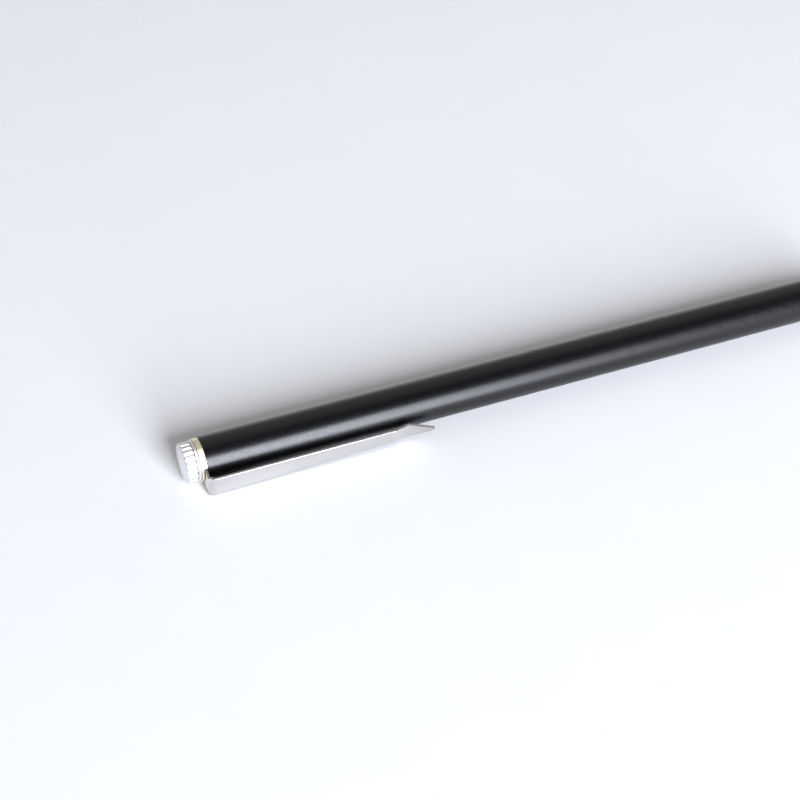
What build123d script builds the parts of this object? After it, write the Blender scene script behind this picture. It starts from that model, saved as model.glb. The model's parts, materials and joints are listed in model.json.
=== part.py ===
from build123d import *
import math
import os

# Counterfeit detector pen with a twist knob, millimetres.
# It is drawn along X with its axis on the X axis: the knob is at the low end, the nib at the high
# end, and station 0 is the rear end of the barrel. The clip is drawn towards -Y. At the end the
# pen is rolled until the clip's edge meets the surface it lies on, and its origin is moved to
# the middle of the underside.

# ---- driving dimensions ----
BARREL_R = 4.0
BARREL_WALL = 0.5
BARREL_LENGTH = 127.5
STROKE = 5.0
TWIST = 180.0
CLIP_LENGTH = 43.3
CLIP_SHEET = 0.45
CLIP_HEAD_WIDTH = 5.9
CLIP_HEAD_HEIGHT = 6.25

# ---- clearances ----
RUNNING = 0.05
SNUG = 0.01
SEAM = 0.06

# ---- rear end: collar, thrust ring and knob ----
COLLAR_BAND = 1.05
COLLAR_R = BARREL_R - 0.05
RING_BAND = 0.48
RING_R = BARREL_R - 0.15
KNOB_LENGTH = 1.95
KNOB_R = 3.73
FLUTES = 22
FLUTE_CUTTER_R = 0.42
FLUTE_DEPTH = 0.2
CAP_R = 2.85
CAP_DEPTH = 0.5
CAP_DOME = 0.35

BORE_R = BARREL_R - BARREL_WALL
COLLAR_SPIGOT = 7.0
COLLAR_BORE_R = 3.05
RING_START = -COLLAR_BAND - SEAM - RING_BAND
KNOB_FRONT = RING_START - SEAM
KNOB_REAR = KNOB_FRONT - KNOB_LENGTH

# ---- clip ----
TANG_WIDTH = 4.2
TANG_ROOT = 3.25
TANG_PLAY = 0.1
PLATE_MIDDLE = -TANG_PLAY - CLIP_SHEET / 2
CLIP_REAR = PLATE_MIDDLE - CLIP_SHEET / 2
SHOULDER_HEIGHT = 5.6
BEND_AT = 35.4
BEND_HEIGHT = 5.74
BEND_WIDTH = 3.94
HUMP_AT = 38.0
HUMP_HEIGHT = 5.3
PADDLE_WIDTH = 4.2
TIP_HEIGHT = 6.4
TIP_R = 0.45
TIP_BULGE = 0.12
HEAD_BEND_R = 1.0
ARM_BEND_R = 0.9
HUMP_BEND_R = 3.0
PIP_R = 1.9
PIP_GAP = 0.08
PIP_SKIN = 0.1

# ---- twist drive ----
STEM_R = 1.5
STEM_SPIGOT_R = 1.2
STEM_HEAD = 2.0
CAM_R = COLLAR_BORE_R - RUNNING
CAM_BORE_R = 2.5
CAM_START = 0.6
CAM_END = 23.5
CIRCLIP_AT = COLLAR_SPIGOT + 0.15
CIRCLIP_WIDTH = 0.45
CIRCLIP_R = 3.3
CIRCLIP_GROOVE_R = 2.8
GUIDE_START = 8.0
GUIDE_END = 30.0
PIN_R = 0.6
PIN_AT = 16.0
PIN_TIP_R = 3.35
CAM_SLOT_STEP = 4.5

# ---- follower and cartridge ----
FOLLOWER_R = CAM_BORE_R - RUNNING
FOLLOWER_START = 13.0
FOLLOWER_END = 22.2
SOCKET_R = 1.5
SOCKET_DEPTH = 4.0
CARTRIDGE_R = 2.45
CARTRIDGE_BORE_R = 2.2
PLUG_FLANGE = 1.0
PLUG_SPIGOT = 2.7
CARTRIDGE_START = FOLLOWER_END + SEAM + PLUG_FLANGE
CARTRIDGE_END = 117.0
RESERVOIR_R = 2.15
RESERVOIR_START = 27.0
RESERVOIR_END = 112.0
HOLDER_SPIGOT = 4.5
HOLDER_SHOULDER = 1.5
NECK_R = 1.1
NECK_END = 134.5
NIB_R = 0.8
NIB_START = 109.0
NIB_TIP = 138.6

# ---- front end: bush, seals and nose cone ----
BUSH_BORE_R = 3.15
BUSH_START = 117.6
BUSH_END = BARREL_LENGTH - 0.9
NOSE_SPIGOT_R = BUSH_BORE_R - 0.02
NOSE_SPIGOT_START = 119.0
NOSE_BORE_R = 2.65
NOSE_BORE_END = 128.0
LAND_R = 3.8
LAND_LENGTH = 5.0
NOSE_END = 140.0
NOSE_TIP_R = 1.9
CHAMBER_R = 2.3
CHAMBER_END = 133.0
SEAL_R = 1.8
SEAL_LENGTH = 1.2
NOSE_HOLE_R = 1.25
O_RING_SECTION_R = 0.18
SPRING_R = 2.0
SPRING_WIRE_R = 0.15
SPRING_TURNS = 12


# ---- how the pen lies ----
# It is rolled until the clip's head edge is just above the surface that the barrel lies on.
head_reach = math.hypot(CLIP_HEAD_HEIGHT, CLIP_HEAD_WIDTH / 2)
head_angle = math.atan2(CLIP_HEAD_WIDTH / 2, CLIP_HEAD_HEIGHT)
roll = math.degrees(math.asin((BARREL_R - 0.03) / head_reach) - head_angle)

# Every cylinder's seam is underneath the pen as it lies, within a degree. When the round pieces are
# turned into flat faces, the pen then rests steadily on the edge there and on the clip.
SEAM_TURN = 0.7 - roll


def rod(radius, start, end):
    """A cylinder along X from one station to another."""
    return Pos((start + end) / 2, 0, 0) * Rot(SEAM_TURN, 90, 0) * Cylinder(radius, end - start)


def tube(outer, inner, start, end):
    """A tube along X from one station to another."""
    return rod(outer, start, end) - rod(inner, start - 1, end + 1)


def taper(start_radius, end_radius, start, end):
    """A cone along X whose radius changes from start_radius to end_radius."""
    cone = Cone(start_radius, end_radius, end - start)
    return Pos((start + end) / 2, 0, 0) * Rot(SEAM_TURN, 90, 0) * cone


def ring(middle_radius, section_radius, station):
    """A round-section ring about X."""
    return Pos(station, 0, 0) * Rot(0, 90, 0) * Torus(middle_radius, section_radius)


def rims(part, radius, station):
    """The circular edges of a part that lie at one station and have one radius."""
    circles = part.edges().filter_by(GeomType.CIRCLE)
    return [e for e in circles if abs(e.center().X - station) < 0.01 and abs(e.radius - radius) < 0.01]


def make_barrel():
    body = tube(BARREL_R, BORE_R, 0, BARREL_LENGTH)
    return fillet(rims(body, BARREL_R, 0) + rims(body, BARREL_R, BARREL_LENGTH), 0.12)


def make_collar():
    """The brass band, its spigot inside the barrel, and the notch that holds the clip's tang."""
    band = rod(COLLAR_R, -COLLAR_BAND, 0)
    band = fillet(rims(band, COLLAR_R, -COLLAR_BAND), 0.1)
    body = band + rod(BORE_R - SNUG, 0, COLLAR_SPIGOT)
    body -= rod(COLLAR_BORE_R, 0, COLLAR_SPIGOT + 1)
    body -= rod(STEM_R + 2 * RUNNING, -COLLAR_BAND - 1, 1)
    notch_depth = CLIP_SHEET + 2 * TANG_PLAY
    notch = Box(notch_depth, BARREL_R, TANG_WIDTH + 0.3)
    return body - Pos(-notch_depth / 2, -COLLAR_BORE_R - BARREL_R / 2, 0) * notch


def clip_side():
    """The clip's bent strip seen from the side: its middle line, thickened. Height runs along -Y."""
    middle = CLIP_SHEET / 2
    line = FilletPolyline(
        (PLATE_MIDDLE, -TANG_ROOT),
        (PLATE_MIDDLE, -CLIP_HEAD_HEIGHT + middle),
        (CLIP_REAR + BEND_AT, -BEND_HEIGHT + middle),
        (CLIP_REAR + HUMP_AT, -HUMP_HEIGHT + middle),
        (CLIP_REAR + CLIP_LENGTH, -TIP_HEIGHT + middle),
        radius=[HEAD_BEND_R, ARM_BEND_R, HUMP_BEND_R],
    )
    return trace(line, CLIP_SHEET)


def clip_plan():
    """The clip seen from outside: a long taper, a flared paddle and a pointed tip with a small round."""
    bend = (CLIP_REAR + BEND_AT, BEND_WIDTH / 2)
    paddle = (CLIP_REAR + HUMP_AT, PADDLE_WIDTH / 2)
    tip = CLIP_REAR + CLIP_LENGTH
    point = (tip - TIP_R / 2, TIP_R * 0.8)
    side = ((paddle[0] + point[0]) / 2, (paddle[1] + point[1]) / 2 + TIP_BULGE)

    def mirrored(place):
        return (place[0], -place[1])

    head = (CLIP_REAR - 1, CLIP_HEAD_WIDTH / 2)
    outline = Polyline(paddle, bend, head, mirrored(head), mirrored(bend), mirrored(paddle))
    outline += ThreePointArc(mirrored(paddle), mirrored(side), mirrored(point))
    outline += ThreePointArc(mirrored(point), (tip, 0), point)
    outline += ThreePointArc(point, side, paddle)
    return make_face(outline)


def make_clip():
    """The strip, cut back to the tang's width below its shoulders, with a pip that nears the barrel."""
    strip = extrude(clip_side(), CLIP_HEAD_WIDTH, both=True)
    plan = extrude(Plane.XZ * clip_plan(), 2 * CLIP_HEAD_HEIGHT)
    body = strip & plan
    below_shoulders = Box(4, 2 * SHOULDER_HEIGHT, 2 * CLIP_HEAD_WIDTH)
    body -= below_shoulders - Box(5, 3 * SHOULDER_HEIGHT, TANG_WIDTH)
    hump = CLIP_REAR + HUMP_AT
    inner_side = Pos(hump, 1 + PIP_SKIN - HUMP_HEIGHT, 0) * Box(4, 2, 4)
    pip = Pos(hump, -BARREL_R - PIP_GAP - PIP_R, 0) * Sphere(PIP_R)
    return body + (pip & inner_side)


def make_thrust_ring():
    body = tube(RING_R, STEM_R + 0.1, RING_START, RING_START + RING_BAND)
    edges = rims(body, RING_R, RING_START) + rims(body, RING_R, RING_START + RING_BAND)
    return chamfer(edges, 0.06)


def make_knob():
    """The fluted knob, with a hole for the stem and a seat for its end cap."""
    body = rod(KNOB_R, KNOB_REAR, KNOB_FRONT)
    body = chamfer(rims(body, KNOB_R, KNOB_REAR), 0.28)
    body = chamfer(rims(body, KNOB_R, KNOB_FRONT), 0.15)
    cutter = rod(FLUTE_CUTTER_R, KNOB_REAR - 1, KNOB_FRONT + 1)
    cutter = Pos(0, KNOB_R + FLUTE_CUTTER_R - FLUTE_DEPTH, 0) * cutter
    body -= [Rot(360 * n / FLUTES, 0, 0) * cutter for n in range(FLUTES)]
    body -= rod(STEM_SPIGOT_R + SNUG, KNOB_REAR - 1, KNOB_FRONT + 1)
    return body - rod(CAP_R + SNUG, KNOB_REAR - 1, KNOB_REAR + CAP_DEPTH)


def make_knob_end_cap():
    """A polished disc with a shallow dome."""
    ball_r = (CAP_R ** 2 + CAP_DOME ** 2) / (2 * CAP_DOME)
    ball = Pos(KNOB_REAR - CAP_DOME + ball_r, 0, 0) * Sphere(ball_r)
    return rod(CAP_R, KNOB_REAR - CAP_DOME, KNOB_REAR + CAP_DEPTH) & ball


def make_knob_stem():
    body = rod(STEM_SPIGOT_R, KNOB_REAR + CAP_DEPTH, KNOB_FRONT)
    body += rod(STEM_R, KNOB_FRONT, CAM_START)
    return body + rod(CAM_BORE_R - SNUG, CAM_START, CAM_START + STEM_HEAD)


def make_stem_o_ring():
    section = (CAM_START - 0.1) / 2
    return ring(STEM_R + section + 0.02, section, CAM_START / 2)


def make_cam_sleeve():
    """The turning sleeve. Its helical slot is the path that a radial pin takes as it moves along."""
    body = tube(CAM_R, CAM_BORE_R, CAM_START, CAM_END)
    body -= tube(CAM_R + 1, CIRCLIP_GROOVE_R - SNUG, CIRCLIP_AT - 0.02, CIRCLIP_AT + CIRCLIP_WIDTH + 0.02)
    steps = round(TWIST / CAM_SLOT_STEP)
    drill = Pos(0, 0, CAM_R) * Cylinder(PIN_R + RUNNING, CAM_R)
    places = [(PIN_AT + STROKE * n / steps, -TWIST * n / steps) for n in range(steps + 1)]
    return body - [Pos(station, 0, 0) * Rot(angle, 0, 0) * drill for station, angle in places]


def make_retaining_clip():
    body = tube(CIRCLIP_R, CIRCLIP_GROOVE_R, CIRCLIP_AT, CIRCLIP_AT + CIRCLIP_WIDTH)
    return body - Pos(CIRCLIP_AT, CIRCLIP_R, 0) * Box(2, CIRCLIP_R, CIRCLIP_R)


def make_guide_sleeve():
    """The fixed sleeve, whose straight slot keeps the follower from turning."""
    body = tube(BORE_R - 3 * SNUG, COLLAR_BORE_R, GUIDE_START, GUIDE_END)
    length = STROKE + 2 * (PIN_R + RUNNING)
    slot = extrude(SlotOverall(length, 2 * (PIN_R + RUNNING)), BARREL_R)
    return body - Pos(PIN_AT + STROKE / 2, 0, 0) * slot


def make_follower():
    body = rod(FOLLOWER_R, FOLLOWER_START, FOLLOWER_END)
    body -= rod(SOCKET_R, FOLLOWER_END - SOCKET_DEPTH, FOLLOWER_END + 1)
    return body - Pos(PIN_AT, 0, FOLLOWER_R) * Cylinder(PIN_R + SNUG, 2 * FOLLOWER_R - 1)


def make_follower_pin():
    root = 0.6
    return Pos(PIN_AT, 0, (root + PIN_TIP_R) / 2) * Cylinder(PIN_R, PIN_TIP_R - root)


def make_cartridge_plug():
    body = rod(SOCKET_R - SNUG, FOLLOWER_END - SOCKET_DEPTH + 0.2, CARTRIDGE_START - PLUG_FLANGE)
    body += rod(CARTRIDGE_R, CARTRIDGE_START - PLUG_FLANGE, CARTRIDGE_START)
    return body + rod(CARTRIDGE_BORE_R - SNUG, CARTRIDGE_START, CARTRIDGE_START + PLUG_SPIGOT)


def make_cartridge_tube():
    return tube(CARTRIDGE_R, CARTRIDGE_BORE_R, CARTRIDGE_START, CARTRIDGE_END)


def make_ink_reservoir():
    body = rod(RESERVOIR_R, RESERVOIR_START, RESERVOIR_END)
    return body - rod(NIB_R + SNUG, NIB_START - 0.1, RESERVOIR_END + 1)


def make_nib_holder():
    body = rod(CARTRIDGE_BORE_R - SNUG, CARTRIDGE_END - HOLDER_SPIGOT, CARTRIDGE_END)
    body += rod(CARTRIDGE_R, CARTRIDGE_END, CARTRIDGE_END + HOLDER_SHOULDER)
    body += rod(NECK_R, CARTRIDGE_END + HOLDER_SHOULDER, NECK_END)
    return body - rod(NIB_R + SNUG, CARTRIDGE_END - HOLDER_SPIGOT - 1, NECK_END + 1)


def make_felt_nib():
    body = rod(NIB_R, NIB_START, NIB_TIP)
    return fillet(rims(body, NIB_R, NIB_TIP), NIB_R * 0.8)


def make_return_spring():
    """A helix of round wire between the cartridge's shoulder and the nose cone."""
    start = CARTRIDGE_END + HOLDER_SHOULDER + SPRING_WIRE_R + 0.02
    length = CHAMBER_END - SPRING_WIRE_R - 0.02 - start
    coil = Helix(length / SPRING_TURNS, length, SPRING_R)
    wire = Plane(coil @ 0, z_dir=coil % 0) * Circle(SPRING_WIRE_R)
    return Pos(start, 0, 0) * Rot(0, 90, 0) * sweep(wire, coil, is_frenet=True)


def make_front_bush():
    return tube(BORE_R - SNUG, BUSH_BORE_R, BUSH_START, BUSH_END)


def make_nose_cone():
    """The screwed nose: spigot, straight land, taper, and the stepped hole that the nib runs in."""
    face = BARREL_LENGTH + SEAM
    land_end = face + LAND_LENGTH
    body = rod(NOSE_SPIGOT_R, NOSE_SPIGOT_START, face)
    body += rod(LAND_R, face, land_end)
    body += taper(LAND_R - 0.12, NOSE_TIP_R, land_end, NOSE_END)
    body = fillet(rims(body, NOSE_TIP_R, NOSE_END), 0.3)
    body -= rod(NOSE_BORE_R, NOSE_SPIGOT_START - 1, NOSE_BORE_END)
    body -= rod(CHAMBER_R, NOSE_BORE_END - 1, CHAMBER_END)
    body -= rod(SEAL_R, CHAMBER_END - 1, CHAMBER_END + SEAL_LENGTH)
    return body - rod(NOSE_HOLE_R, CHAMBER_END, NOSE_END + 1)


def make_nose_o_ring():
    station = (BUSH_END + BARREL_LENGTH) / 2
    return ring((NOSE_SPIGOT_R + BORE_R) / 2, O_RING_SECTION_R, station)


def make_nib_seal():
    return tube(SEAL_R - SNUG, NECK_R + RUNNING, CHAMBER_END, CHAMBER_END + SEAL_LENGTH)


MAKERS = {
    "barrel": make_barrel,
    "collar": make_collar,
    "clip": make_clip,
    "thrust_ring": make_thrust_ring,
    "knob": make_knob,
    "knob_end_cap": make_knob_end_cap,
    "knob_stem": make_knob_stem,
    "stem_o_ring": make_stem_o_ring,
    "cam_sleeve": make_cam_sleeve,
    "retaining_clip": make_retaining_clip,
    "guide_sleeve": make_guide_sleeve,
    "follower": make_follower,
    "follower_pin": make_follower_pin,
    "cartridge_plug": make_cartridge_plug,
    "cartridge_tube": make_cartridge_tube,
    "ink_reservoir": make_ink_reservoir,
    "nib_holder": make_nib_holder,
    "felt_nib": make_felt_nib,
    "return_spring": make_return_spring,
    "front_bush": make_front_bush,
    "nose_cone": make_nose_cone,
    "nose_o_ring": make_nose_o_ring,
    "nib_seal": make_nib_seal,
}

# The clip's head corner reaches furthest to the side, and sets how far the axis is off centre.
side_reach = head_reach * math.cos(math.radians(roll) - head_angle)
middle_station = (KNOB_REAR - CAP_DOME + NOSE_END) / 2
to_row = Pos(-middle_station, (side_reach - BARREL_R) / 2, BARREL_R) * Rot(roll, 0, 0)

os.makedirs("parts", exist_ok=True)
for name, make in MAKERS.items():
    export_step(to_row * make(), f"parts/{name}.step")

pivot = to_row * Pos(PLATE_MIDDLE, -COLLAR_R, 0)
print("roll in degrees", roll)
print("rear end of the barrel", to_row.position)
print("pivot of the clip", pivot.position)
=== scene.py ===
import json
import math

import bmesh
import bpy
from mathutils import Matrix, Vector


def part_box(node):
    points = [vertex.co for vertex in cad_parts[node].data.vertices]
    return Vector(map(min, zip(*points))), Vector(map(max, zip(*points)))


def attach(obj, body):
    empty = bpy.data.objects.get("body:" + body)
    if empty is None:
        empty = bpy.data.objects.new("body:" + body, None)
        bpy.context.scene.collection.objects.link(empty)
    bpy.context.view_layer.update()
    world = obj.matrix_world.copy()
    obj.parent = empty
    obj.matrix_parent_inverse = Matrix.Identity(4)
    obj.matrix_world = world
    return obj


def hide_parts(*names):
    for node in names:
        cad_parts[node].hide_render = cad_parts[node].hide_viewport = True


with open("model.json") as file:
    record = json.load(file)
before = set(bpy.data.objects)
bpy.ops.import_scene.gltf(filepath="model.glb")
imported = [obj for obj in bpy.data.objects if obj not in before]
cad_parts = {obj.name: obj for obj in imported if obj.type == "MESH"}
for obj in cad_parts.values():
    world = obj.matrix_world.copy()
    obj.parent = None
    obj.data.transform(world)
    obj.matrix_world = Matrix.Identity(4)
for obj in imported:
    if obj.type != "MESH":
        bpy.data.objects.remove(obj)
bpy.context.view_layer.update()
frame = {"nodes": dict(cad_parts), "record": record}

# The outer pieces are rebuilt here as fine meshes that fill the same space as their CAD nodes.
# Lengths are in millimetres and are turned into metres by MM. Along the pen they are stations:
# station 0 is the rear end of the barrel, and the nib is at the high end.
MM = 0.001

# ---- the pen's axis and the clip's directions, from the frame ----
barrel_low, barrel_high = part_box("barrel")
REAR = Vector((barrel_low.x, (barrel_low.y + barrel_high.y) / 2, (barrel_low.z + barrel_high.z) / 2))
BARREL_R = (barrel_high.z - barrel_low.z) / 2 / MM
BARREL_LENGTH = (barrel_high.x - barrel_low.x) / MM
joints = {joint["name"]: joint for joint in frame["record"]["behaviour"]["joints"]}
ACROSS = Vector(joints["clip_flex"]["axis"]).normalized()
OUT = Vector((0, ACROSS.z, -ACROSS.y))


def first_station(node):
    return (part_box(node)[0].x - REAR.x) / MM


def last_station(node):
    return (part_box(node)[1].x - REAR.x) / MM


# ---- sizes of the pieces ----
BORE_R = BARREL_R - 0.5
BARREL_ROUND = 0.12

COLLAR_R = BARREL_R - 0.05
COLLAR_ROUND = 0.1
SPIGOT_R = BORE_R - 0.01
SPIGOT_BORE_R = 3.05
STEM_HOLE_R = 1.6
NOTCH_DEPTH = 0.65
NOTCH_WIDTH = 4.35

RING_R = BARREL_R - 0.15
RING_ROUND = 0.07

KNOB_R = 3.73
KNOB_REAR_CHAMFER = 0.28
KNOB_FRONT_CHAMFER = 0.15
KNOB_HOLE_R = 1.21
FLUTES = 22
FLUTE_R = 0.42
FLUTE_DEPTH = 0.2
FLUTE_SOFTNESS = 0.05
CAP_R = 2.85
CAP_DEPTH = 0.5
CAP_DOME = 0.35

CLIP_LENGTH = last_station("clip") - first_station("clip")
CLIP_SHEET = 0.45
CLIP_EDGE = 0.08
TANG_WIDTH = 4.2
TANG_ROOT = 3.25
SHOULDER_HEIGHT = 5.38
SHOULDER_RISE = 0.3
HEAD_WIDTH = 5.9
HEAD_HEIGHT = 6.25
HEAD_BEND_R = 1.0
BEND_AT = 35.4
BEND_HEIGHT = 5.74
BEND_WIDTH = 3.94
ARM_BEND_R = 0.9
HUMP_AT = 38.0
HUMP_HEIGHT = 5.3
HUMP_BEND_R = 3.0
PADDLE_WIDTH = 4.2
TIP_HEIGHT = 6.4
TIP_ROUND = 0.5
PIP_R = 1.5
PIP_GAP = 0.08
PIP_TOP = 5.1

NOSE_SPIGOT_R = 3.13
LAND_R = 3.8
LAND_END = BARREL_LENGTH + 5.06
NOSE_TIP_R = 1.9
NOSE_BORE_R = 2.65
NOSE_BORE_END = 128.0
CHAMBER_R = 2.3
CHAMBER_END = 133.0
SEAL_SEAT_R = 1.8
SEAL_SEAT_END = 134.2
NOSE_HOLE_R = 1.25
NIB_R = 0.8

AROUND = 144
KNOB_COLUMNS_PER_FLUTE = 20
EDGE_SUPPORT = 0.02
CRISP_ANGLE = 35


# ---- shaping helpers ----
def rounded(corners, closed=True, steps=6):
    """The line through corners (a, b, radius), with an arc at each corner that has a radius."""
    line = []
    for index, (a, b, radius) in enumerate(corners):
        here = Vector((a, b))
        at_an_end = not closed and index in (0, len(corners) - 1)
        if radius == 0 or at_an_end:
            line.append(here)
            continue
        back = (Vector(corners[index - 1][:2]) - here).normalized()
        ahead = (Vector(corners[(index + 1) % len(corners)][:2]) - here).normalized()
        half_angle = back.angle(ahead) / 2
        reach = radius / math.tan(half_angle)
        centre = here + (back + ahead).normalized() * radius / math.sin(half_angle)
        arm = here + back * reach - centre
        sweep = math.pi - 2 * half_angle
        side = 1 if back.cross(ahead) < 0 else -1
        line.append(here + back * (reach + EDGE_SUPPORT))
        line += [centre + Matrix.Rotation(side * sweep * step / steps, 2) @ arm for step in range(steps + 1)]
        line.append(here + ahead * (reach + EDGE_SUPPORT))
    return line


def grid_mesh(name, rows, loop_rows):
    """A mesh of quads through rows of points, each a closed ring. loop_rows joins the last to the first."""
    mesh = bmesh.new()
    grid = [[mesh.verts.new(place) for place in row] for row in rows]
    pairs = list(zip(grid, grid[1:]))
    if loop_rows:
        pairs.append((grid[-1], grid[0]))
    for row, following in pairs:
        for column in range(len(row)):
            after = (column + 1) % len(row)
            mesh.faces.new((row[column], row[after], following[after], following[column]))
    if not loop_rows:
        mesh.faces.new(grid[0])
        mesh.faces.new(list(reversed(grid[-1])))
    bmesh.ops.remove_doubles(mesh, verts=mesh.verts, dist=1e-8)
    bmesh.ops.dissolve_degenerate(mesh, edges=mesh.edges, dist=1e-8)
    bmesh.ops.recalc_face_normals(mesh, faces=mesh.faces)
    data = bpy.data.meshes.new(name)
    mesh.to_mesh(data)
    mesh.free()
    piece = bpy.data.objects.new(name, data)
    bpy.context.scene.collection.objects.link(piece)
    return piece


def turned(name, profile, columns=AROUND, radius_at=None):
    """A piece turned about the pen's axis. Its profile is a closed line of (station, radius)."""
    rows = []
    for station, radius in profile:
        row = []
        for column in range(columns):
            angle = math.tau * column / columns
            r = radius_at(angle, radius) if radius_at else radius
            towards = -OUT * math.cos(angle) - ACROSS * math.sin(angle)
            row.append(REAR + Vector((station * MM, 0, 0)) + towards * r * MM)
        rows.append(row)
    return grid_mesh(name, rows, loop_rows=True)


def on_clip_side(station, height, across):
    """A point given by its station, its height out from the axis towards the clip, and its place across."""
    return REAR + Vector((station * MM, 0, 0)) + OUT * height * MM + ACROSS * across * MM


def apply_boolean(piece, cutter, operation):
    modifier = piece.modifiers.new("boolean", "BOOLEAN")
    modifier.operation = operation
    modifier.solver = "EXACT"
    modifier.object = cutter
    whole = piece.evaluated_get(bpy.context.evaluated_depsgraph_get())
    piece.data = bpy.data.meshes.new_from_object(whole)
    piece.modifiers.clear()
    bpy.data.objects.remove(cutter)


def finish_piece(piece, node, body):
    """Smooth shading with crisp edges, and the piece's place in the frame."""
    piece.data.shade_smooth()
    piece.data.set_sharp_from_angle(angle=math.radians(CRISP_ANGLE))
    piece.data.materials.clear()
    piece.data.materials.append(looks[slots[node]])
    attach(piece, body)
    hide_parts(node)


# ---- material helpers ----
class Look:
    """A material under construction, with its shader and the object's own coordinates."""

    def __init__(self, name, metallic=0.0, **shader_values):
        self.material = bpy.data.materials.new(name)
        self.material.use_nodes = True
        self.nodes = self.material.node_tree.nodes
        self.links = self.material.node_tree.links
        self.shader = self.nodes["Principled BSDF"]
        self.shader.inputs["Metallic"].default_value = metallic
        for socket, value in shader_values.items():
            self.shader.inputs[socket.replace("_", " ")].default_value = value
        self.place = self.nodes.new("ShaderNodeTexCoord").outputs["Object"]

    def noise(self, scale, stretch=(1, 1, 1), detail=3.0):
        """Noise whose cells are about 1/scale metres across, divided by stretch along X, Y and Z."""
        mapping = self.nodes.new("ShaderNodeMapping")
        mapping.inputs["Scale"].default_value = stretch
        texture = self.nodes.new("ShaderNodeTexNoise")
        texture.inputs["Scale"].default_value = scale
        texture.inputs["Detail"].default_value = detail
        self.links.new(self.place, mapping.inputs["Vector"])
        self.links.new(mapping.outputs["Vector"], texture.inputs["Vector"])
        return texture.outputs["Fac"]

    def spread(self, value, low, high, from_low=0.3, from_high=0.7):
        """The value stretched so that from_low to from_high becomes low to high."""
        node = self.nodes.new("ShaderNodeMapRange")
        node.inputs["From Min"].default_value = from_low
        node.inputs["From Max"].default_value = from_high
        node.inputs["To Min"].default_value = low
        node.inputs["To Max"].default_value = high
        self.links.new(value, node.inputs["Value"])
        return node.outputs["Result"]

    def blend(self, factor, first, second):
        """A colour between two: each is a plain colour or the output of another node."""
        node = self.nodes.new("ShaderNodeMix")
        node.data_type = "RGBA"
        self.links.new(factor, node.inputs["Factor"])
        for socket, colour in ((node.inputs[6], first), (node.inputs[7], second)):
            if isinstance(colour, tuple):
                socket.default_value = (*colour, 1)
            else:
                self.links.new(colour, socket)
        return node.outputs[2]

    def worn_edges(self, start=0.52, end=0.6):
        """About 1 on sharp outer edges and 0 elsewhere, broken up by noise."""
        geometry = self.nodes.new("ShaderNodeNewGeometry")
        edge = self.spread(geometry.outputs["Pointiness"], 0, 1, start, end)
        node = self.nodes.new("ShaderNodeMath")
        node.operation = "MULTIPLY"
        self.links.new(edge, node.inputs[0])
        self.links.new(self.spread(self.noise(1800), 0, 1, 0.35, 0.65), node.inputs[1])
        return node.outputs["Value"]

    def colour(self, value):
        self.links.new(value, self.shader.inputs["Base Color"])

    def roughness(self, value):
        self.links.new(value, self.shader.inputs["Roughness"])

    def bump(self, height, strength, depth):
        """Raises the surface by the height, depth millimetres at most."""
        node = self.nodes.new("ShaderNodeBump")
        node.inputs["Strength"].default_value = strength
        node.inputs["Distance"].default_value = depth * MM
        self.links.new(height, node.inputs["Height"])
        self.links.new(node.outputs["Normal"], self.shader.inputs["Normal"])


# ---- materials, one for each of the record's slots ----
def black_lacquer():
    """Satin black: a fine orange-peel grain, faint cloudiness, and metal showing at the worn ends."""
    look = Look("black_lacquer", IOR=1.5)
    cloud = look.spread(look.noise(90, (0.4, 1, 1)), 0, 1)
    black = look.blend(cloud, (0.0015, 0.0015, 0.002), (0.003, 0.003, 0.0038))
    look.colour(look.blend(look.worn_edges(), black, (0.11, 0.105, 0.1)))
    look.roughness(look.spread(look.noise(2600, detail=5), 0.27, 0.36))
    look.bump(look.noise(3200, detail=3), 0.25, 0.016)
    return look.material


def polished_brass():
    """Pale lacquered brass with turning lines round it."""
    look = Look("polished_brass", metallic=1.0)
    cloud = look.spread(look.noise(500), 0, 1)
    look.colour(look.blend(cloud, (0.9, 0.8, 0.56), (0.95, 0.87, 0.66)))
    look.roughness(look.spread(look.noise(900, (6, 1, 1)), 0.24, 0.32))
    look.bump(look.noise(700, (12, 0.4, 0.4), 2), 0.1, 0.006)
    return look.material


def chrome_clip():
    """Bright plated spring steel with faint lengthwise polishing lines and handling marks."""
    look = Look("chrome_clip", metallic=1.0)
    cloud = look.spread(look.noise(160, (0.5, 1, 1)), 0, 1)
    plate = look.blend(cloud, (0.56, 0.555, 0.54), (0.62, 0.61, 0.595))
    look.colour(look.blend(look.worn_edges(), plate, (0.8, 0.79, 0.77)))
    look.roughness(look.spread(look.noise(700, (0.15, 1, 1), 5), 0.07, 0.15))
    look.bump(look.noise(900, (0.05, 1, 1), 2), 0.06, 0.005)
    return look.material


def chrome():
    """Mirror plating on turned brass, with slight handling marks."""
    look = Look("chrome", metallic=1.0)
    cloud = look.spread(look.noise(350), 0, 1)
    look.colour(look.blend(cloud, (0.78, 0.78, 0.79), (0.84, 0.84, 0.85)))
    look.roughness(look.spread(look.noise(1200, detail=5), 0.3, 0.4))
    look.bump(look.noise(600, (8, 0.5, 0.5), 2), 0.03, 0.002)
    return look.material


def steel():
    """Plain machined steel with turning lines."""
    look = Look("steel", metallic=1.0)
    lines = look.noise(600, (10, 0.5, 0.5), 4)
    look.colour(look.blend(look.spread(lines, 0, 1), (0.5, 0.5, 0.51), (0.64, 0.64, 0.65)))
    look.roughness(look.spread(lines, 0.22, 0.38))
    look.bump(lines, 0.15, 0.008)
    return look.material


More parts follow.
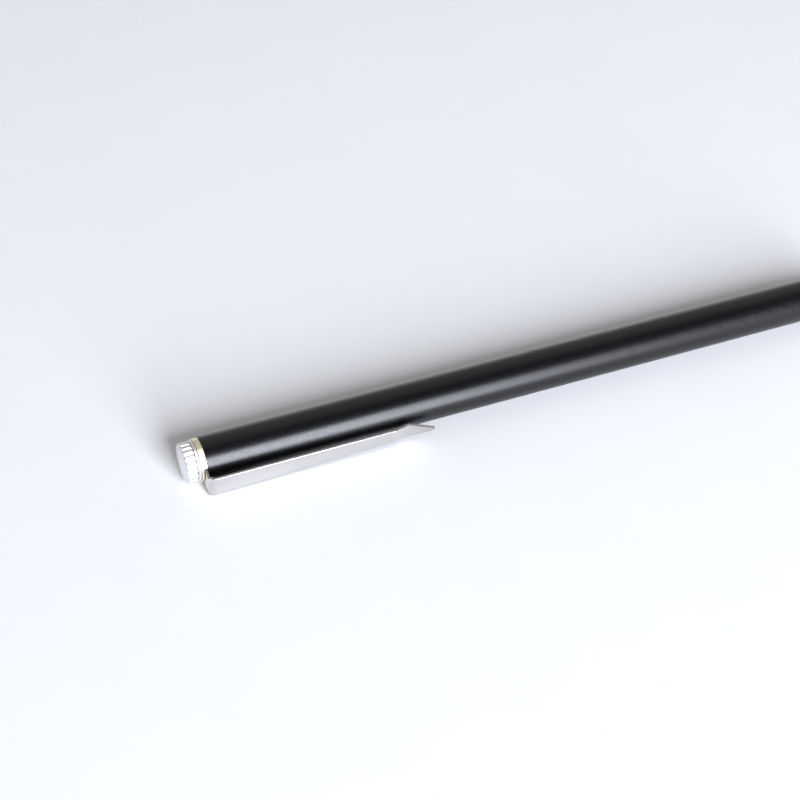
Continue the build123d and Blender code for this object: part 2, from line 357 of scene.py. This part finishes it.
def rubber():
    """Moulded rubber, matte, with a dusty bloom."""
    look = Look("rubber")
    bloom = look.spread(look.noise(900, detail=5), 0, 1)
    look.colour(look.blend(bloom, (0.018, 0.018, 0.018), (0.04, 0.04, 0.042)))
    look.roughness(look.spread(look.noise(1500), 0.55, 0.8))
    look.bump(look.noise(5000), 0.2, 0.01)
    return look.material


def brass_inner():
    """Unplated turned brass, slightly tarnished."""
    look = Look("brass_inner", metallic=1.0)
    tarnish = look.spread(look.noise(260, detail=5), 0, 1)
    look.colour(look.blend(tarnish, (0.62, 0.45, 0.2), (0.82, 0.64, 0.33)))
    lines = look.noise(600, (10, 0.5, 0.5), 4)
    look.roughness(look.spread(lines, 0.2, 0.36))
    look.bump(lines, 0.15, 0.008)
    return look.material


def plastic_inner():
    """Moulded off-white plastic with a fine spark-eroded texture."""
    look = Look("plastic_inner", IOR=1.49)
    look.colour(look.blend(look.spread(look.noise(300), 0, 1), (0.72, 0.71, 0.67), (0.8, 0.79, 0.76)))
    look.roughness(look.spread(look.noise(1400, detail=5), 0.38, 0.52))
    look.bump(look.noise(5200), 0.15, 0.01)
    return look.material


def cartridge_plastic():
    """Thin drawn plastic tube, slightly translucent, with lengthwise drawing lines."""
    look = Look("cartridge_plastic", IOR=1.49, Transmission_Weight=0.35)
    look.colour(look.blend(look.spread(look.noise(240), 0, 1), (0.78, 0.77, 0.72), (0.86, 0.85, 0.82)))
    look.roughness(look.spread(look.noise(900, (0.08, 1, 1), 4), 0.22, 0.34))
    look.bump(look.noise(1500, (0.04, 1, 1)), 0.1, 0.006)
    return look.material


def ink_fibre():
    """Bundled fibre soaked unevenly in amber detector ink."""
    look = Look("ink_fibre")
    fibres = look.noise(3000, (0.05, 1, 1), 4)
    soaked = look.spread(look.noise(120, detail=4), 0, 1)
    pale = look.blend(look.spread(fibres, 0, 1), (0.55, 0.36, 0.12), (0.68, 0.5, 0.22))
    look.colour(look.blend(soaked, pale, (0.36, 0.19, 0.04)))
    look.roughness(look.spread(fibres, 0.65, 0.9))
    look.bump(fibres, 0.5, 0.04)
    return look.material


def felt():
    """Bonded felt, amber with ink, with fibres along the nib and a soft sheen."""
    look = Look("felt", Sheen_Weight=0.3, Sheen_Roughness=0.5)
    fibres = look.noise(4200, (0.12, 1, 1), 5)
    look.colour(look.blend(look.spread(fibres, 0, 1), (0.4, 0.21, 0.05), (0.6, 0.37, 0.12)))
    look.roughness(look.spread(look.noise(2500), 0.75, 0.95))
    look.bump(fibres, 0.6, 0.05)
    return look.material


MAKERS = (black_lacquer, polished_brass, chrome_clip, chrome, steel, rubber, brass_inner, plastic_inner,
          cartridge_plastic, ink_fibre, felt)
looks = {maker.__name__: maker() for maker in MAKERS}
slots = {part["node"]: part["material_slot"] for part in frame["record"]["subparts"]}
for node_name, node in frame["nodes"].items():
    node.data.materials.clear()
    node.data.materials.append(looks[slots[node_name]])


# ---- pieces ----
def make_barrel():
    corners = [(0, BORE_R, 0.04), (0, BARREL_R, BARREL_ROUND),
               (BARREL_LENGTH, BARREL_R, BARREL_ROUND), (BARREL_LENGTH, BORE_R, 0.04)]
    finish_piece(turned("barrel_tube", rounded(corners)), "barrel", "pen_body")


def make_collar():
    """The brass band and its spigot, with the notch for the clip's tang cut out."""
    rear = first_station("collar")
    front = last_station("collar")
    corners = [(rear, STEM_HOLE_R, 0), (rear, COLLAR_R, COLLAR_ROUND), (0, COLLAR_R, 0.03), (0, SPIGOT_R, 0),
               (front, SPIGOT_R, 0.1), (front, SPIGOT_BORE_R, 0), (0, SPIGOT_BORE_R, 0), (0, STEM_HOLE_R, 0)]
    band = turned("brass_band", rounded(corners))
    half = NOTCH_WIDTH / 2
    ends = [[on_clip_side(station, height, across)
             for height, across in ((SPIGOT_BORE_R, -half), (SPIGOT_BORE_R, half),
                                    (2 * BARREL_R, half), (2 * BARREL_R, -half))]
            for station in (-NOTCH_DEPTH, 0)]
    apply_boolean(band, grid_mesh("notch", ends, loop_rows=False), "DIFFERENCE")
    finish_piece(band, "collar", "pen_body")


def make_thrust_ring():
    rear = first_station("thrust_ring")
    front = last_station("thrust_ring")
    corners = [(rear, STEM_HOLE_R, 0), (rear, RING_R, RING_ROUND), (front, RING_R, RING_ROUND),
               (front, STEM_HOLE_R, 0)]
    finish_piece(turned("bright_ring", rounded(corners)), "thrust_ring", "pen_body")


def flute(angle, radius):
    """The knob's radius at an angle: the lesser of the plain radius and the flute's hollow, blended."""
    pitch = math.tau / FLUTES
    offset = (angle + pitch / 2) % pitch - pitch / 2
    middle = KNOB_R + FLUTE_R - FLUTE_DEPTH
    inside = FLUTE_R ** 2 - (middle * math.sin(offset)) ** 2
    hollow = middle * math.cos(offset) - math.sqrt(inside) if inside > 0 else middle
    gap = radius - hollow
    return (radius + hollow - math.sqrt(gap ** 2 + FLUTE_SOFTNESS ** 2)) / 2


def make_knob():
    rear = first_station("knob")
    front = last_station("knob")
    corners = [(front, KNOB_HOLE_R, 0), (front, KNOB_R - KNOB_FRONT_CHAMFER, 0.05),
               (front - KNOB_FRONT_CHAMFER, KNOB_R, 0.08), (rear + KNOB_REAR_CHAMFER, KNOB_R, 0.1),
               (rear, KNOB_R - KNOB_REAR_CHAMFER, 0.1), (rear, CAP_R + 0.01, 0.05),
               (rear + CAP_DEPTH, CAP_R + 0.01, 0), (rear + CAP_DEPTH, KNOB_HOLE_R, 0)]
    knob = turned("fluted_knob", rounded(corners), FLUTES * KNOB_COLUMNS_PER_FLUTE, flute)
    finish_piece(knob, "knob", "twist_knob")


def make_end_cap():
    """A polished disc with a shallow dome."""
    front = last_station("knob_end_cap")
    rim = first_station("knob_end_cap") + CAP_DOME
    ball_r = (CAP_R ** 2 + CAP_DOME ** 2) / (2 * CAP_DOME)
    half_angle = math.asin(CAP_R / ball_r)
    steps = 16
    dome = [(rim + ball_r * (math.cos(half_angle) - math.cos(half_angle * step / steps)),
             ball_r * math.sin(half_angle * step / steps)) for step in range(steps + 1)]
    profile = dome + [(rim + 0.03, CAP_R), (front, CAP_R), (front, 0)]
    finish_piece(turned("polished_end_cap", profile), "knob_end_cap", "twist_knob")


def make_nose_cone():
    rear = first_station("nose_cone")
    tip = last_station("nose_cone")
    face = BARREL_LENGTH + 0.06
    corners = [(rear, NOSE_BORE_R, 0), (rear, NOSE_SPIGOT_R, 0.1),
               (face, NOSE_SPIGOT_R, 0), (face, LAND_R, 0.08),
               (LAND_END, LAND_R, 0.05), (LAND_END, LAND_R - 0.12, 0), (tip, NOSE_TIP_R, 0.3),
               (tip, NOSE_HOLE_R, 0.08), (SEAL_SEAT_END, NOSE_HOLE_R, 0), (SEAL_SEAT_END, SEAL_SEAT_R, 0),
               (CHAMBER_END, SEAL_SEAT_R, 0), (CHAMBER_END, CHAMBER_R, 0), (NOSE_BORE_END, CHAMBER_R, 0),
               (NOSE_BORE_END, NOSE_BORE_R, 0)]
    finish_piece(turned("nose", rounded(corners)), "nose_cone", "pen_body")


def make_felt_nib():
    rear = first_station("felt_nib")
    tip = last_station("felt_nib")
    corners = [(rear, 0, 0), (rear, NIB_R, 0.05), (tip, NIB_R, NIB_R * 0.8), (tip, 0, 0)]
    nib = turned("nib", rounded(corners, closed=False, steps=12), 48)
    finish_piece(nib, "felt_nib", "refill")


def clip_half_width(station, height):
    """Half of the clip's width: tang, shoulders, long taper, flared paddle and pointed tip."""
    rear = first_station("clip")
    tip = rear + CLIP_LENGTH
    if station < rear + 2 and height < HEAD_HEIGHT - 0.35:
        rise = min(max((height - SHOULDER_HEIGHT) / SHOULDER_RISE, 0), 1)
        return (TANG_WIDTH + (HEAD_WIDTH - TANG_WIDTH) * math.sin(rise * math.pi / 2)) / 2
    bend = rear + BEND_AT
    hump = rear + HUMP_AT
    if station < bend:
        share = max(station - rear, 0) / BEND_AT
        return (HEAD_WIDTH + (BEND_WIDTH - HEAD_WIDTH) * share) / 2
    if station < hump:
        share = (station - bend) / (hump - bend)
        return (BEND_WIDTH + (PADDLE_WIDTH - BEND_WIDTH) * math.sin(share * math.pi / 2)) / 2
    left = tip - station
    if left < TIP_ROUND / 2:
        return TIP_ROUND * math.sqrt(max(left, 0) / TIP_ROUND * 1.2 + 1e-5)
    share = (left - TIP_ROUND / 2) / (tip - hump - TIP_ROUND / 2)
    point = TIP_ROUND * math.sqrt(0.6)
    return point + (PADDLE_WIDTH / 2 - point) * share ** 0.88


def clip_section(half_width, half_sheet, edge):
    """The strip's cross-section: a flat bar with rounded edges, as (across, through)."""
    edge = min(edge, half_width * 0.9)
    corners = [(half_width, half_sheet, edge), (-half_width, half_sheet, edge),
               (-half_width, -half_sheet, edge), (half_width, -half_sheet, edge)]
    return rounded(corners, steps=4)


def clip_line():
    """The middle line of the bent strip as closely spaced (station, height) points."""
    rear = first_station("clip")
    middle = CLIP_SHEET / 2
    corners = [(rear + middle, TANG_ROOT, 0), (rear + middle, HEAD_HEIGHT - middle, HEAD_BEND_R),
               (rear + BEND_AT, BEND_HEIGHT - middle, ARM_BEND_R),
               (rear + HUMP_AT, HUMP_HEIGHT - middle, HUMP_BEND_R),
               (rear + CLIP_LENGTH, TIP_HEIGHT - middle, 0)]
    coarse = rounded(corners, closed=False, steps=16)
    line = []
    for start, end in zip(coarse, coarse[1:]):
        pieces = max(1, round((end - start).length / 0.25))
        line += [start.lerp(end, piece / pieces) for piece in range(pieces)]
    return line + [coarse[-1]]



def make_clip():
    line = clip_line()
    rows = []
    for index, place in enumerate(line):
        ahead = line[min(index + 1, len(line) - 1)] - line[max(index - 1, 0)]
        along = ahead.normalized()
        through = Vector((-along.y, along.x))
        half_width = clip_half_width(place.x, place.y)
        section = clip_section(half_width, CLIP_SHEET / 2, CLIP_EDGE)
        rows.append([on_clip_side(place.x + through.x * v, place.y + through.y * v, u) for u, v in section])
    strip = grid_mesh("spring_clip", rows, loop_rows=False)
    apply_boolean(strip, make_pip(), "UNION")
    finish_piece(strip, "clip", "clip")


def make_pip():
    """The shallow dome on the clip's inner face that holds what is clipped."""
    hump = first_station("clip") + HUMP_AT
    bottom = BARREL_R + PIP_GAP
    steps = 10
    rows = []
    for step in range(1, steps + 1):
        angle = step / steps * math.pi / 2
        height = PIP_TOP - (PIP_TOP - bottom) * math.cos(angle)
        rows.append([on_clip_side(hump + PIP_R * math.sin(angle) * math.cos(turn),
                                  height, PIP_R * math.sin(angle) * math.sin(turn))
                     for turn in (math.tau * column / 48 for column in range(48))])
    return grid_mesh("pip", rows, loop_rows=False)


make_barrel()
make_collar()
make_clip()
make_thrust_ring()
make_knob()
make_end_cap()
make_nose_cone()
make_felt_nib()

# ---- camera ----
CAMERA_AZIMUTH = 27.975
CAMERA_ELEVATION = 48.519
CAMERA_ROLL = 6.995
CAMERA_DISTANCE = 0.29622
CAMERA_LENS = 72.1
CAMERA_CLIP_START = 0.01
AIM = REAR + Vector((38.83, 1.484, 0)) * MM


def add_camera():
    """Looks down on the knob end from behind and to the clip's side, tilted a little."""
    azimuth = math.radians(CAMERA_AZIMUTH)
    elevation = math.radians(CAMERA_ELEVATION)
    toward = Vector((-math.sin(azimuth) * math.cos(elevation), -math.cos(azimuth) * math.cos(elevation),
                     math.sin(elevation)))
    data = bpy.data.cameras.new("camera")
    data.lens = CAMERA_LENS
    data.clip_start = CAMERA_CLIP_START
    camera = bpy.data.objects.new("camera", data)
    bpy.context.scene.collection.objects.link(camera)
    turn = (-toward).to_track_quat("-Z", "Y").to_matrix().to_4x4()
    tilt = Matrix.Rotation(math.radians(CAMERA_ROLL), 4, "Z")
    camera.matrix_world = Matrix.Translation(AIM + toward * CAMERA_DISTANCE) @ turn @ tilt
    bpy.context.scene.camera = camera


add_camera()

# ---- floor and light ----
FLOOR_HALF = 3.0
TENT = 0.5
TENT_SHADE = 0.06
SHADE_TOWARDS = Vector((0.25, -0.45, 0.88)).normalized()
SHADE_STARTS = 0.6
SHADE_FULL = 0.9
SOFTBOX_DISTANCE = 1.2
SOFTBOX_AIM = 0.05
KEY_COLOUR = (0.93, 0.97, 1.08)


def add_floor():
    """Plain white paper."""
    data = bpy.data.meshes.new("floor")
    ends = (-FLOOR_HALF, FLOOR_HALF)
    data.from_pydata([(x, y, 0) for x, y in ((ends[0], ends[0]), (ends[1], ends[0]), (ends[1], ends[1]),
                                             (ends[0], ends[1]))], [], [(0, 1, 2, 3)])
    floor = bpy.data.objects.new("floor", data)
    bpy.context.scene.collection.objects.link(floor)
    paper = Look("floor_paper", Specular_IOR_Level=0.0)
    paper.colour(paper.blend(paper.noise(60), (0.87, 0.87, 0.87), (0.9, 0.9, 0.9)))
    paper.shader.inputs["Roughness"].default_value = 0.9
    data.materials.append(paper.material)


def add_tent():
    """An even white surround that is darker in the part above the viewer."""
    world = bpy.data.worlds.new("tent")
    bpy.context.scene.world = world
    world.use_nodes = True
    nodes = world.node_tree.nodes
    links = world.node_tree.links
    direction = nodes.new("ShaderNodeTexCoord").outputs["Generated"]
    closeness = nodes.new("ShaderNodeVectorMath")
    closeness.operation = "DOT_PRODUCT"
    closeness.inputs[1].default_value = SHADE_TOWARDS
    level = nodes.new("ShaderNodeMapRange")
    level.interpolation_type = "SMOOTHSTEP"
    level.inputs["From Min"].default_value = SHADE_STARTS
    level.inputs["From Max"].default_value = SHADE_FULL
    level.inputs["To Min"].default_value = TENT
    level.inputs["To Max"].default_value = TENT_SHADE
    links.new(direction, closeness.inputs[0])
    links.new(closeness.outputs["Value"], level.inputs["Value"])
    links.new(level.outputs["Result"], nodes["Background"].inputs["Strength"])
    nodes["Background"].inputs["Color"].default_value = (1, 1, 1, 1)


def add_softbox(name, azimuth, elevation, size, radiance, colour=(1, 1, 1)):
    """A rectangular softbox that faces the pen from its clip's side. A radiance of 1 looks plain white."""
    turn = math.radians(azimuth)
    rise = math.radians(elevation)
    away = Vector((math.sin(turn) * math.cos(rise), -math.cos(turn) * math.cos(rise), math.sin(rise)))
    data = bpy.data.lights.new(name, "AREA")
    data.shape = "RECTANGLE"
    data.size, data.size_y = size
    data.color = colour
    data.energy = radiance * math.pi * size[0] * size[1]
    light = bpy.data.objects.new(name, data)
    bpy.context.scene.collection.objects.link(light)
    light.location = REAR + Vector((SOFTBOX_AIM, 0, 0)) + away * SOFTBOX_DISTANCE
    light.rotation_euler = (-away).to_track_quat("-Z", "Y").to_euler()
    return light


def light_only(light, names):
    """Makes a light fall on the named pieces only, and not on the rest of the pen or the floor."""
    lit = bpy.data.collections.new(light.name + "_lights")
    for name in names:
        lit.objects.link(bpy.data.objects[name])
    light.light_linking.receiver_collection = lit


bpy.context.scene.view_settings.view_transform = "Standard"
add_floor()
add_tent()
add_softbox("key_softbox", 7, 24, (0.62, 0.96), 16.0, KEY_COLOUR)
top_softbox = add_softbox("top_softbox", 0, 68, (1.6, 1.5), 2.1)
light_only(top_softbox, ("brass_band", "bright_ring", "fluted_knob", "polished_end_cap"))
